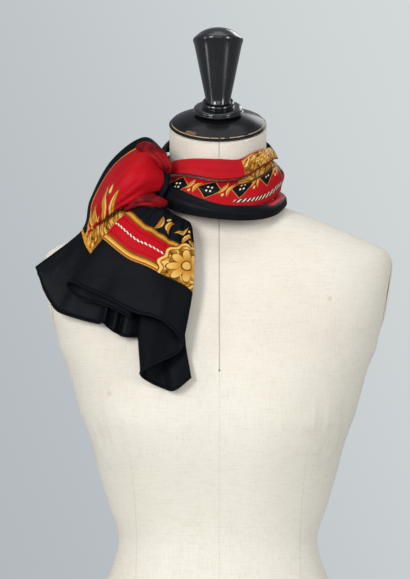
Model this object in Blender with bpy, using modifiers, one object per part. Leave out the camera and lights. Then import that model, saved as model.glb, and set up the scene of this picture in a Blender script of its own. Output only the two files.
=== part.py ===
"""A silk square scarf, folded into a band, wound once round the neck of a limbless
dress form and knotted at the side, with its open end fanned out over the chest.

Frame: metres, +Z up, the form stands on z = 0 and faces -Y, its axis is x = y = 0.
Tables are in millimetres; "forward" is measured towards -Y.
"""

import math

import bmesh
import bpy
import numpy as np
from mathutils import Matrix, Vector

MM = 0.001

# ---- driving sizes, millimetres ----------------------------------------------------
SILK_WALL = 1.2            # thickness of the modelled cloth
SEAM_GAP = 0.3             # air kept between neighbouring pieces
BAND_TUCK = (1.5, 5.0)     # how far a neck fold's upper edge is tucked in, and down
BAND_LEAN = 0.10           # the neck folds lean back with the neck, about BAND_LEAN_UP
BAND_LEAN_UP = 620.0
FOLD_STEPS, STATION_STEPS = 2, 3   # grid steps between two folds, and between two stations
NECK_TILT = 24.8           # degrees the neck top leans forward
NECK_TOP = (0.0, -8.0, 699.5)      # centre of the neck cap's rim
ARM_PLANE = 197.0          # half-width where an arm hole is cut, at ARM_PLANE_Z
ARM_PLANE_Z = 530.0
ARM_SLOPE = 0.17           # how fast that cut runs inwards, going down
ARM_LOW = 420.0            # the cut ends above this level
ARM_PLATE_UP = 501.0       # height of the plate's centre
ARM_PLATE = (37.0, 40.0, 2.0)      # half depth, half height, thickness
ARM_PLATE_EDGE = 0.8       # rounding of its rim
BUST = (78.0, 352.0, 62.0, 66.0, 9.0)   # across, up, half width, half height, swell

# ---- dress form: one row for each level --------------------------------------------
FORM_LEVELS = (
    # up, half width, front, back, squareness, tilt of the ring
    (0, 165, 104, 118, 2.3, 0),
    (6, 168, 106, 120, 2.3, 0),
    (60, 163, 103, 116, 2.3, 0),
    (115, 149, 98, 108, 2.3, 0),
    (160, 133, 94, 96, 2.3, 0),
    (192, 120, 91, 88, 2.3, 0),
    (217, 114.5, 90, 84, 2.3, 0),
    (232, 116.5, 91, 85, 2.3, 0),
    (256, 125, 95, 88, 2.3, 0),
    (302, 138.5, 107, 96, 2.3, 0),
    (325, 144, 113, 100, 2.35, 0),
    (347, 151.5, 117, 103, 2.4, 0),
    (368, 159, 119, 105, 2.45, 0),
    (414, 171.5, 118, 107, 2.5, 0),
    (437, 181, 115, 107, 2.5, 0),
    (455, 185.5, 113, 106, 2.55, 0),
    (470, 190, 111, 104, 2.6, 0),
    (500, 197, 104, 99, 2.6, 0),
    (530, 201, 93, 90, 2.6, 0),
    (544, 199, 85, 82, 2.6, 0),
    (554, 190, 78, 76, 2.5, 0),
    (566, 164, 70, 70, 2.4, 0),
    (579, 134, 64, 66, 2.3, 0),
    (593, 101, 60, 63, 2.2, 4),
    (604, 72, 57, 61, 2.1, 8),
    (616, 60.5, 56, 59, 2.0, 13),
    (636, 57, 56, 57, 2.0, 20),
    (664, 56, 57, 55, 2.0, 24.8),
    (695.5, 56, 64, 48, 2.0, 24.8),
)

# ---- neck band: one row for each direction round the neck ---------------------------
# turn is in degrees from the front towards +X
BAND_UPPER = (
    # turn, top radius and height, belly radius and height, foot radius and height
    (-52, 63, 653, 73, 645, 76, 637),
    (-28, 63, 654, 72, 645, 76, 636),
    (0, 63, 653, 73, 642, 78, 629),
    (22, 63, 653, 71, 644, 76, 633),
    (42, 62, 662, 68, 655, 72, 645),
    (65, 61, 668, 66, 663, 70, 655),
    (90, 61, 671, 65, 666, 69, 658),
    (125, 63, 682, 68, 675, 73, 666),
    (160, 66, 690, 71, 683, 77, 673),
    (200, 66, 690, 71, 683, 77, 673),
    (235, 64, 684, 70, 677, 75, 668),
    (262, 62, 672, 68, 666, 72, 658),
    (280, 62, 662, 68, 656, 71, 650),
)
BAND_MIDDLE = (
    # turn, top radius and height, belly radius and height, foot radius and height
    (-52, 67, 635, 75, 630, 77, 626),
    (-28, 68, 634, 78, 624, 82, 613),
    (0, 70, 628, 81, 614, 86, 601),
    (22, 68, 631, 80, 617, 85, 600),
    (42, 65, 643, 78, 626, 81, 604),
    (65, 63, 653, 77, 640, 77, 618),
    (90, 62, 656, 76, 641, 71, 624),
    (125, 65, 664, 77, 651, 75, 633),
    (160, 69, 670, 80, 656, 80, 640),
    (200, 69, 670, 80, 656, 80, 640),
    (235, 67, 665, 79, 653, 78, 637),
    (262, 65, 655, 76, 645, 76, 632),
    (280, 64, 647, 73, 640, 74, 630),
)
BAND_LOWER = (
    # turn, top radius and height, belly radius and height, foot radius and height
    (-52, 82, 632, 89, 619, 87, 606),
    (-28, 86, 617, 93, 605, 92, 593),
    (0, 90, 602, 96, 594, 95, 585),
    (22, 89, 600, 95, 592, 94, 584),
    (42, 85, 603, 91, 597, 91, 589),
    (65, 72, 613, 82, 609, 84, 601),
    (90, 66, 620, 77, 616, 79, 609),
    (125, 68, 630, 79, 623, 81, 615),
    (160, 73, 637, 84, 628, 87, 616),
    (200, 73, 637, 84, 628, 87, 616),
    (235, 71, 634, 81, 626, 85, 615),
    (262, 68, 629, 77, 622, 81, 613),
    (280, 67, 627, 75, 620, 79, 612),
)

# ---- tail: one row for each fold, from the outer side hem inwards --------------------
# name, number of the station its cloth starts at, then (across, forward, up) at each station
PUFF_FOLDS = (
    # stations: root, throat, shoulder, belly, frame, hem
    ("side hem", 0,
     (-60, 22, 650), (-87, 18, 667), (-115, 12, 647), (-133, 14, 610), (-154, 44, 573), (-205, 59, 532)),
    ("top roll", 0,
     (-58, 34, 661), (-84, 36, 680), (-121, 32, 654), (-145, 34, 610), (-155, 48, 573), (-204, 61, 530)),
    ("back face", 0,
     (-60, 50, 651), (-77, 54, 664), (-112, 56, 648), (-139, 52, 608), (-154, 51, 572), (-203, 62, 528)),
    ("crest", 0,
     (-60, 63, 642), (-83, 80, 651), (-104, 84, 635), (-131, 76, 604), (-154, 54, 570), (-202, 64, 524)),
    ("face", 0,
     (-61, 72, 629), (-82, 96, 631), (-100, 99, 617), (-126, 86, 595), (-153, 57, 567), (-200, 65, 520)),
    ("lower edge", 0,
     (-66, 76, 618), (-84, 95, 612), (-101, 97, 603), (-124, 84, 589), (-152, 60, 565), (-198, 67, 514)),
    ("tuck", 0,
     (-71, 66, 621), (-83, 82, 616), (-100, 82, 604), (-122, 74, 588), (-151, 63, 562), (-195, 69, 506)),
    ("strip", 0,
     (-71, 68, 614), (-82, 87, 609), (-97, 86, 598), (-117, 81, 581), (-148, 69, 555), (-188, 74, 494)),
    ("wing fold", 0,
     (-72, 62, 611), (-80, 83, 605), (-93, 86, 593), (-109, 86, 576), (-143, 77, 548), (-179, 79, 483)),
    ("under 1", 2,
     (-70, 56, 609), (-79, 75, 602), (-89, 80, 588), (-101, 84, 564), (-133, 88, 538), (-159, 90, 476)),
    ("under 2", 3,
     (-68, 55, 609), (-76, 72, 601), (-84, 76, 585), (-93, 82, 558), (-118, 95, 528), (-134, 102, 470)),
    ("small fold 1", 3,
     (-66, 55, 608), (-74, 71, 599), (-82, 76, 583), (-89, 84, 556), (-111, 99, 524), (-127, 114, 471)),
    ("small gap 1", 3,
     (-64, 54, 607), (-72, 70, 598), (-80, 75, 581), (-87, 82, 554), (-107, 97, 522), (-123, 106, 467)),
    ("small fold 2", 3,
     (-62, 54, 606), (-70, 70, 597), (-78, 75, 579), (-84, 84, 552), (-102, 101, 520), (-116, 117, 462)),
    ("small gap 2", 3,
     (-60, 53, 605), (-68, 69, 595), (-76, 74, 577), (-81, 82, 550), (-97, 99, 518), (-111, 109, 459)),
    ("small fold 3", 3,
     (-58, 53, 604), (-65, 69, 593), (-73, 74, 575), (-78, 84, 548), (-91, 102, 517), (-104, 117, 456)),
    ("under end", 3,
     (-56, 52, 603), (-62, 68, 592), (-70, 74, 573), (-74, 82, 547), (-80, 101, 516), (-87, 111, 455)),
)
FRONT_FOLDS = (
    # stations: root, throat, belly, frame, hem
    ("middle end", 2,
     (-58, 57, 597), (-62, 76, 588), (-70, 90, 566), (-84, 112, 518), (-95, 121, 476)),
    ("middle", 2,
     (-61, 59, 598), (-69, 80, 591), (-84, 94, 571), (-105, 109, 531), (-127, 113, 491)),
    ("loop back", 1,
     (-69, 62, 606), (-77, 86, 597), (-98, 97, 583), (-124, 100, 554), (-153, 101, 497)),
    ("loop edge", 0,
     (-73, 68, 608), (-81, 92, 601), (-106, 101, 587), (-128, 104, 562), (-167, 100, 510)),
    ("loop front", 0,
     (-71, 72, 609), (-80, 97, 601), (-101, 107, 586), (-124, 111, 560), (-162, 110, 516)),
    ("panel 1", 0,
     (-67, 75, 606), (-74, 98, 598), (-93, 112, 580), (-112, 118, 550), (-141, 122, 507)),
    ("panel 2", 0,
     (-62, 76, 602), (-67, 99, 594), (-83, 115, 572), (-98, 123, 540), (-120, 127, 498)),
    ("panel 3", 0,
     (-56, 75, 596), (-58, 98, 587), (-70, 118, 563), (-78, 129, 532), (-92, 134, 483)),
    ("panel 4", 0,
     (-50, 71, 591), (-49, 95, 581), (-57, 119, 556), (-63, 132, 524), (-74, 139, 479)),
    ("panel 5", 0,
     (-45, 69, 589), (-40, 92, 578), (-42, 117, 550), (-48, 131, 517), (-59, 141, 472)),
    ("panel 6", 0,
     (-41, 67, 587), (-33, 89, 577), (-32, 113, 546), (-35, 127, 510), (-48, 139, 462)),
    ("right edge", 0,
     (-38, 65, 586), (-30, 84, 577), (-27, 108, 542), (-29, 123, 502), (-39, 133, 449)),
    ("flute front 1", 2,
     (-39, 62, 587), (-33, 79, 577), (-32, 104, 541), (-37, 119, 493), (-46, 133, 438)),
    ("flute front 2", 2,
     (-42, 62, 587), (-39, 78, 577), (-43, 104, 540), (-54, 122, 485), (-65, 142, 429)),
    ("flute left front", 2,
     (-45, 62, 588), (-44, 77, 577), (-55, 103, 540), (-78, 123, 476), (-82, 144, 420)),
    ("flute edge", 2,
     (-46, 61, 588), (-46, 75, 577), (-59, 101, 540), (-86, 120, 473), (-85, 135, 415)),
    ("flute left back", 2,
     (-44, 60, 588), (-43, 74, 577), (-55, 98, 539), (-81, 117, 468), (-78, 125, 408)),
    ("flute back", 2,
     (-42, 60, 588), (-40, 73, 577), (-47, 98, 538), (-65, 115, 460), (-61, 123, 400)),
    ("flute crease", 2,
     (-40, 60, 587), (-36, 73, 577), (-40, 98, 537), (-52, 116, 457), (-48, 132, 398)),
    ("inner side hem", 2,
     (-38, 61, 587), (-32, 75, 577), (-34, 99, 537), (-37, 117, 461), (-30, 129, 412)),
)

# ---- knot: one row for each level ----------------------------------------------------
KNOT_LEVELS = (
    # up, across, forward, radius
    (613, -78, 44, 4),
    (618, -79, 44, 9),
    (628, -80, 44, 11),
    (638, -80, 43, 10),
    (645, -79, 42, 7),
    (649, -78, 41, 3),
)

# ---- turned cap and knob, radius and height above their own base ----------------------
CAP_PROFILE = ((0, 13.5), (20, 12.2), (38, 7.6), (50, 2.6), (53.5, 0.8), (54, -1.2), (52, -2.6), (0, -2.6))
RING_PROFILE = ((0, 11), (14, 11), (17.5, 10.4), (19, 7.8), (18.2, 5), (24, 4.6), (27.4, 3.2), (28, 0.8),
                (26.6, -1.2), (0, -1.2))
KNOB_PROFILE = ((0, 107.4), (10, 106.2), (19, 102.6), (25.6, 97.4), (28.4, 94.4), (28.7, 91.5), (26.6, 84),
                (19.6, 50), (14.6, 26), (13.9, 19), (14.8, 14.5), (16, 11), (16, -12), (0, -12))
RING_FOOT = 1.2            # how far the ring reaches below its own base
KNOB_BASE = 700.0          # height the knob is measured from
CUTTER = 80.0              # side of the block that cuts the knob's seat

COLOURS = {
    "linen": ((0.79, 0.75, 0.66), 0.9, 0.0),
    "lacquer": ((0.010, 0.010, 0.011), 0.18, 0.0),
    "silk_red": ((0.56, 0.02, 0.025), 0.42, 0.0),
    "silk_pattern": ((0.42, 0.16, 0.02), 0.42, 0.0),
    "silk_black": ((0.012, 0.013, 0.017), 0.40, 0.0),
}


def clear_scene():
    for thing in list(bpy.data.objects):
        bpy.data.objects.remove(thing, do_unlink=True)


def collection_named(name):
    group = bpy.data.collections.new(name)
    bpy.context.scene.collection.children.link(group)
    return group


def material_named(name):
    colour, roughness, metallic = COLOURS[name]
    finish = bpy.data.materials.get(name) or bpy.data.materials.new(name)
    finish.use_nodes = True
    shader = finish.node_tree.nodes["Principled BSDF"]
    shader.inputs["Base Color"].default_value = (*colour, 1.0)
    shader.inputs["Roughness"].default_value = roughness
    shader.inputs["Metallic"].default_value = metallic
    return finish


def add_object(name, mesh, group, finish):
    thing = bpy.data.objects.new(name, mesh)
    group.objects.link(thing)
    mesh.materials.append(material_named(finish))
    mesh.shade_smooth()
    return thing


def catmull_rom(table, per_span):
    """Points along axis 0 of the table, per_span for each span, through every row."""
    rows = np.asarray(table, dtype=float)
    first = 2 * rows[0] - rows[1]
    last = 2 * rows[-1] - rows[-2]
    padded = np.concatenate((first[None], rows, last[None]))
    samples = []
    for span in range(len(rows) - 1):
        before, start, end, after = padded[span:span + 4]
        for step in range(per_span):
            t = step / per_span
            samples.append(0.5 * (2 * start + (end - before) * t
                                  + (2 * before - 5 * start + 4 * end - after) * t * t
                                  + (3 * start - 3 * end + after - before) * t ** 3))
    samples.append(rows[-1])
    return np.array(samples)


def grid_mesh(name, points, closed_round=False, first_column=None):
    """An open quad surface over a grid of points[row, column] in millimetres.

    first_column gives, for each row of quads, the column where its cloth starts.
    """
    rows, columns = points.shape[:2]
    verts = [tuple(p * MM) for p in points.reshape(-1, 3)]
    faces = []
    for i in range(rows - 1):
        start = first_column[i] if first_column else 0
        for j in range(start, columns if closed_round else columns - 1):
            k = (j + 1) % columns
            faces.append((i * columns + j, i * columns + k, (i + 1) * columns + k, (i + 1) * columns + j))
    mesh = bpy.data.meshes.new(name)
    mesh.from_pydata(verts, [], faces)
    shell = bmesh.new()
    shell.from_mesh(mesh)
    bmesh.ops.delete(shell, geom=[v for v in shell.verts if not v.link_faces], context="VERTS")
    shell.to_mesh(mesh)
    shell.free()
    return mesh


def cloth(name, points, group, finish, first_column=None):
    thing = add_object(name, grid_mesh(name, points, False, first_column), group, finish)
    wall = thing.modifiers.new("wall", "SOLIDIFY")
    wall.thickness = SILK_WALL * MM
    wall.offset = 0.0
    wall.use_even_offset = False
    return thing


# ---- dress form ----------------------------------------------------------------------
def arm_cut(up):
    """Half-width of the flat arm hole at a height."""
    return ARM_PLANE + (up - ARM_PLANE_Z) * ARM_SLOPE


def form_rings(around=44, per_span=1):
    levels = catmull_rom(FORM_LEVELS, per_span)
    angles = np.arange(around) * 2 * math.pi / around
    rings = []
    for up, half, front, back, square, tilt in levels:
        cosine, sine = np.cos(angles), np.sin(angles)
        power = 2.0 / square
        x = half * np.sign(cosine) * np.abs(cosine) ** power
        reach = np.where(sine < 0, front, back)
        y = reach * np.sign(sine) * np.abs(sine) ** power
        across, bust_up, wide, high, swell = BUST
        mound = np.exp(-((np.abs(x) - across) / wide) ** 2 - ((up - bust_up) / high) ** 2)
        y = np.where(sine < 0, y - swell * mound * np.abs(sine), y)
        if up > ARM_LOW:
            x = np.clip(x, -arm_cut(up), arm_cut(up))
        z = up + y * math.tan(math.radians(tilt))
        rings.append(np.stack((x, y, z), axis=1))
    return np.array(rings)


def build_form(group):
    rings = form_rings()
    mesh = grid_mesh("torso", rings, closed_round=True)
    shell = bmesh.new()
    shell.from_mesh(mesh)
    rims = [edge for edge in shell.edges if edge.is_boundary]
    bmesh.ops.holes_fill(shell, edges=rims, sides=0)
    bmesh.ops.triangulate(shell, faces=[f for f in shell.faces if len(f.verts) > 4])
    bmesh.ops.recalc_face_normals(shell, faces=shell.faces)
    shell.to_mesh(mesh)
    shell.free()
    add_object("torso", mesh, group, "linen")


def build_arm_plate(name, side, group):
    depth, height, thick = ARM_PLATE
    bpy.ops.mesh.primitive_cylinder_add(vertices=40, radius=1, depth=1)
    plate = bpy.context.object
    plate.name = name
    for owner in list(plate.users_collection):
        owner.objects.unlink(plate)
    group.objects.link(plate)
    plate.data.transform(Matrix.Diagonal((height * MM, depth * MM, thick * MM, 1)))
    plate.data.transform(Matrix.Rotation(math.radians(90), 4, "Y"))
    lean = math.atan(ARM_SLOPE)
    plate.rotation_euler = (0, side * lean, 0)
    face = arm_cut(ARM_PLATE_UP) + (SEAM_GAP + thick / 2) / math.cos(lean)
    plate.location = (side * face * MM, 0, ARM_PLATE_UP * MM)
    plate.data.materials.append(material_named("linen"))
    plate.data.shade_smooth()
    rim = plate.modifiers.new("rim", "BEVEL")
    rim.width = ARM_PLATE_EDGE * MM
    rim.segments = 2
    rim.limit_method = "ANGLE"


# ---- neck cap and knob ------------------------------------------------------------------
def turned(name, profile, group, steps=40):
    mesh = bpy.data.meshes.new(name)
    verts = [(radius * MM, 0, up * MM) for radius, up in profile]
    mesh.from_pydata(verts, [(i, i + 1) for i in range(len(verts) - 1)], [])
    thing = add_object(name, mesh, group, "lacquer")
    screw = thing.modifiers.new("turn", "SCREW")
    screw.steps = screw.render_steps = steps
    screw.use_merge_vertices = True
    screw.merge_threshold = 0.00005
    return thing


def neck_frame():
    """Place and lean of the neck's top."""
    return Vector(NECK_TOP) * MM, Matrix.Rotation(math.radians(NECK_TILT), 4, "X")


def build_cap(group, cutters):
    seat, lean = neck_frame()
    cap = turned("neck_cap", CAP_PROFILE, group, 48)
    cap.location = seat
    cap.rotation_euler = lean.to_euler()

    ring = turned("cap_ring", RING_PROFILE, group)
    ring_up = CAP_PROFILE[0][1] + RING_FOOT + SEAM_GAP
    ring.location = seat + lean @ Vector((0, 0, ring_up * MM))
    ring.rotation_euler = lean.to_euler()

    apex = seat + lean @ Vector((0, 0, (ring_up + RING_PROFILE[0][1] + SEAM_GAP) * MM))
    knob = turned("knob", KNOB_PROFILE, group)
    knob.location = (0, apex.y, KNOB_BASE * MM)

    bpy.ops.mesh.primitive_cube_add(size=CUTTER * MM)
    block = bpy.context.object
    block.name = "knob_seat_cutter"
    for owner in list(block.users_collection):
        owner.objects.unlink(block)
    cutters.objects.link(block)
    block.rotation_euler = lean.to_euler()
    block.location = apex + lean @ Vector((0, 0, -CUTTER / 2 * MM))
    block.hide_render = True
    block.display_type = "WIRE"
    cut = knob.modifiers.new("seat", "BOOLEAN")
    cut.operation = "DIFFERENCE"
    cut.object = block


# ---- scarf -------------------------------------------------------------------------------
def band_points(table, per_span=3):
    """Section through a rolled fold: tucked top, top, belly, foot."""
    rows = catmull_rom(table, per_span)
    turn = np.radians(rows[:, 0])
    top_r, top_z, belly_r, belly_z, foot_r, foot_z = rows[:, 1:].T
    tuck_in, tuck_down = BAND_TUCK
    drop = np.minimum(tuck_down, 0.5 * (top_z - belly_z))
    radii = np.stack((top_r - tuck_in, top_r, belly_r, foot_r))
    heights = np.stack((top_z - drop, top_z, belly_z, foot_z))
    section = catmull_rom(np.stack((radii, heights), axis=-1), 2)
    radius, height = section[..., 0].T, section[..., 1].T
    lean_back = (BAND_LEAN_UP - height) * BAND_LEAN
    x = radius * np.sin(turn)[:, None]
    y = -radius * np.cos(turn)[:, None] + lean_back
    return np.stack((x, y, height), axis=-1)


def fold_points(folds, per_fold, per_station):
    """A pleated surface through the rows of a fold table, and where each strip of it starts."""
    table = np.array([[(across, -forward, up) for across, forward, up in row[2:]] for row in folds], float)
    across = catmull_rom(table, per_fold)
    along = catmull_rom(np.swapaxes(across, 0, 1), per_station)
    starts = [row[1] * per_station for row in folds]
    first_column = [max(pair) for pair in zip(starts, starts[1:]) for _ in range(per_fold)]
    return np.swapaxes(along, 0, 1), first_column


def build_band(group):
    cloth("band_upper", band_points(BAND_UPPER), group, "silk_red")
    cloth("band_middle", band_points(BAND_MIDDLE), group, "silk_pattern")
    cloth("band_lower", band_points(BAND_LOWER), group, "silk_black")


def build_tail(group):
    tails = (("tail_puff", PUFF_FOLDS, "silk_red"), ("tail_front", FRONT_FOLDS, "silk_black"))
    for name, folds, finish in tails:
        points, first_column = fold_points(folds, FOLD_STEPS, STATION_STEPS)
        cloth(name, points, group, finish, first_column)


def build_knot(group, around=16):
    levels = catmull_rom(KNOT_LEVELS, 2)
    angles = np.arange(around) * 2 * math.pi / around
    rings = [np.stack((across + radius * np.cos(angles), -forward + radius * np.sin(angles),
                       np.full(around, up)), axis=1) for up, across, forward, radius in levels]
    mesh = grid_mesh("knot", np.array(rings), closed_round=True)
    shell = bmesh.new()
    shell.from_mesh(mesh)
    bmesh.ops.holes_fill(shell, edges=[e for e in shell.edges if e.is_boundary], sides=0)
    bmesh.ops.recalc_face_normals(shell, faces=shell.faces)
    shell.to_mesh(mesh)
    shell.free()
    add_object("knot", mesh, group, "silk_red")


def main():
    clear_scene()
    group = collection_named("scarf_on_dress_form")
    cutters = collection_named("cutters")
    build_form(group)
    build_arm_plate("arm_plate_left", -1, group)
    build_arm_plate("arm_plate_right", 1, group)
    build_cap(group, cutters)
    build_band(group)
    build_knot(group)
    build_tail(group)


main()
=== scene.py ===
import math

import bmesh
import bpy
import numpy as np
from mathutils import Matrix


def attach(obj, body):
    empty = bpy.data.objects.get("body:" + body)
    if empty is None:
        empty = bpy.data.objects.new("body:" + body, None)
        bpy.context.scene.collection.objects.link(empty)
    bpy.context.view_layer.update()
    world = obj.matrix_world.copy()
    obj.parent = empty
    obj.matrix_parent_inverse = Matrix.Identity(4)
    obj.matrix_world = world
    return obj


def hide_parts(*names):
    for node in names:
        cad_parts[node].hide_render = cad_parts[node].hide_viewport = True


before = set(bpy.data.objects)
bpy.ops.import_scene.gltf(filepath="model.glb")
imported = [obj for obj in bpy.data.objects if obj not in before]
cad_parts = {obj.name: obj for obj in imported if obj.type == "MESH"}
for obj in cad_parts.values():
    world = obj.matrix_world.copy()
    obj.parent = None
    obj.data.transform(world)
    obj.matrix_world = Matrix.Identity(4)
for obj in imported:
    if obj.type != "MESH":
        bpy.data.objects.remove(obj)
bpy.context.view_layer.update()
scene = bpy.context.scene
mm = 0.001

# ---------- the dress form: a row for each level; the canvas runs up to the cap's underside
formLevels = np.array([  # up, half width, front, back, squareness, tilt
    (0, 165, 104, 118, 2.3, 0), (6, 168, 106, 120, 2.3, 0), (60, 163, 103, 116, 2.3, 0),
    (115, 149, 98, 108, 2.3, 0), (160, 133, 94, 96, 2.3, 0), (192, 120, 91, 88, 2.3, 0),
    (217, 114.5, 90, 84, 2.3, 0), (232, 116.5, 91, 85, 2.3, 0), (256, 125, 95, 88, 2.3, 0),
    (302, 138.5, 107, 96, 2.3, 0), (325, 144, 113, 100, 2.35, 0), (347, 151.5, 117, 103, 2.4, 0),
    (368, 159, 119, 105, 2.45, 0), (414, 171.5, 118, 107, 2.5, 0), (437, 181, 115, 107, 2.5, 0),
    (455, 185.5, 113, 106, 2.55, 0), (470, 190, 111, 104, 2.6, 0), (500, 197, 104, 99, 2.6, 0),
    (530, 201, 93, 90, 2.6, 0), (544, 199, 85, 82, 2.6, 0), (554, 190, 78, 76, 2.5, 0),
    (566, 164, 70, 70, 2.4, 0), (579, 134, 64, 66, 2.3, 0), (593, 101, 60, 63, 2.2, 4),
    (604, 72, 57, 61, 2.1, 8), (616, 60.5, 56, 59, 2.0, 13), (636, 57, 56, 57, 2.0, 20),
    (664, 56, 57, 55, 2.0, 24.8), (699.3, 56, 64, 48, 2.0, 24.8)], float)
formSet = {"around": 180, "perSpan": 5, "armHalf": 197.0, "armUp": 530.0, "armSlope": 0.17,
           "armLow": 420.0, "bust": (78.0, 352.0, 62.0, 66.0, 9.0)}
neckSet = {"top": (0.0, -8.0, 699.5), "tilt": 24.8, "around": 128, "knobBase": 700.0, "gap": 0.3, "ringFoot": 1.2,
           "cap": [(0, 13.5), (20, 12.2), (38, 7.6), (50, 2.6), (53.5, 0.8), (54, -1.2), (52, -2.6),
                   (0, -2.6)],
           "ring": [(0, 11), (14, 11), (17.5, 10.4), (19, 7.8), (18.2, 5), (24, 4.6), (27.4, 3.2), (28, 0.8),
                    (26.6, -1.2), (0, -1.2)],
           "knob": [(0, 107.4), (10, 106.2), (19, 102.6), (25.6, 97.4), (28.4, 94.4), (28.7, 91.5),
                    (26.6, 84),
                    (19.6, 50), (14.6, 26), (13.9, 19), (14.8, 14.5), (16, 11), (16, -12), (0, -12)]}

# ---------- the scarf's tables: millimetres, forward is towards the viewer
bandTables = {  # turn, top radius and height, belly radius and height, foot radius and height
    "upper": [(-52, 63, 653, 73, 645, 76, 637), (-28, 63, 654, 72, 645, 76, 636),
              (0, 63, 653, 73, 642, 78, 629), (22, 63, 653, 71, 644, 76, 633),
              (42, 62, 662, 68, 655, 72, 645), (65, 61, 668, 66, 663, 70, 655),
              (90, 61, 671, 65, 666, 69, 658), (125, 63, 682, 68, 675, 73, 666),
              (160, 66, 690, 71, 683, 77, 673), (200, 66, 690, 71, 683, 77, 673),
              (235, 64, 684, 70, 677, 75, 668), (262, 62, 672, 68, 666, 72, 658),
              (280, 62, 662, 68, 656, 71, 650)],
    "middle": [(-52, 67, 635, 75, 630, 77, 626), (-28, 68, 634, 78, 624, 82, 613),
               (0, 70, 628, 81, 614, 86, 601), (22, 68, 631, 80, 617, 85, 600),
               (42, 65, 643, 78, 626, 81, 604), (65, 63, 653, 77, 640, 77, 618),
               (90, 62, 656, 76, 641, 71, 624), (125, 65, 664, 77, 651, 75, 633),
               (160, 69, 670, 80, 656, 80, 640), (200, 69, 670, 80, 656, 80, 640),
               (235, 67, 665, 79, 653, 78, 637), (262, 65, 655, 76, 645, 76, 632),
               (280, 64, 647, 73, 640, 74, 630)],
    "lower": [(-52, 82, 632, 89, 619, 87, 606), (-28, 86, 617, 93, 605, 92, 593),
              (0, 90, 602, 96, 594, 95, 585), (22, 89, 600, 95, 592, 94, 584),
              (42, 85, 603, 91, 597, 91, 589), (65, 72, 613, 82, 609, 84, 601),
              (90, 66, 620, 77, 616, 79, 609), (125, 68, 630, 79, 623, 81, 615),
              (160, 73, 637, 84, 628, 87, 616), (200, 73, 637, 84, 628, 87, 616),
              (235, 71, 634, 81, 626, 85, 615), (262, 68, 629, 77, 622, 81, 613),
              (280, 67, 627, 75, 620, 79, 612)]}
puffFolds = [  # name, first station, then (across, forward, up): root, throat, shoulder, belly, frame, hem
    ("side hem", 0,
     (-60, 22, 650), (-87, 18, 667), (-115, 12, 647), (-133, 14, 610), (-154, 44, 573), (-205, 59, 532)),
    ("top roll", 0,
     (-58, 34, 661), (-84, 36, 680), (-121, 32, 654), (-145, 34, 610), (-155, 48, 573), (-204, 61, 530)),
    ("back face", 0,
     (-60, 50, 651), (-77, 54, 664), (-112, 56, 648), (-139, 52, 608), (-154, 51, 572), (-203, 62, 528)),
    ("crest", 0,
     (-60, 63, 642), (-83, 80, 651), (-104, 84, 635), (-131, 76, 604), (-154, 54, 570), (-202, 64, 524)),
    ("face", 0,
     (-61, 72, 629), (-82, 96, 631), (-100, 99, 617), (-126, 86, 595), (-153, 57, 567), (-200, 65, 520)),
    ("lower edge", 0,
     (-66, 76, 618), (-84, 95, 612), (-101, 97, 603), (-124, 84, 589), (-152, 60, 565), (-198, 67, 514)),
    ("tuck", 0,
     (-71, 66, 621), (-83, 82, 616), (-100, 82, 604), (-122, 74, 588), (-151, 63, 562), (-195, 69, 506)),
    ("strip", 0,
     (-71, 68, 614), (-82, 87, 609), (-97, 86, 598), (-117, 81, 581), (-148, 69, 555), (-188, 74, 494)),
    ("wing fold", 0,
     (-72, 62, 611), (-80, 83, 605), (-93, 86, 593), (-109, 86, 576), (-143, 77, 548), (-179, 79, 483)),
    ("under 1", 2,
     (-70, 56, 609), (-79, 75, 602), (-89, 80, 588), (-101, 84, 564), (-133, 88, 538), (-159, 90, 476)),
    ("under 2", 3,
     (-68, 55, 609), (-76, 72, 601), (-84, 76, 585), (-93, 82, 558), (-118, 95, 528), (-134, 102, 470)),
    ("small fold 1", 3,
     (-66, 55, 608), (-74, 71, 599), (-82, 76, 583), (-89, 84, 556), (-111, 99, 524), (-127, 114, 471)),
    ("small gap 1", 3,
     (-64, 54, 607), (-72, 70, 598), (-80, 75, 581), (-87, 82, 554), (-107, 97, 522), (-123, 106, 467)),
    ("small fold 2", 3,
     (-62, 54, 606), (-70, 70, 597), (-78, 75, 579), (-84, 84, 552), (-102, 101, 520), (-116, 117, 462)),
    ("small gap 2", 3,
     (-60, 53, 605), (-68, 69, 595), (-76, 74, 577), (-81, 82, 550), (-97, 99, 518), (-111, 109, 459)),
    ("small fold 3", 3,
     (-58, 53, 604), (-65, 69, 593), (-73, 74, 575), (-78, 84, 548), (-91, 102, 517), (-104, 117, 456)),
    ("under end", 3,
     (-56, 52, 603), (-62, 68, 592), (-70, 74, 573), (-74, 82, 547), (-80, 101, 516), (-87, 111, 455)),
]
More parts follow.
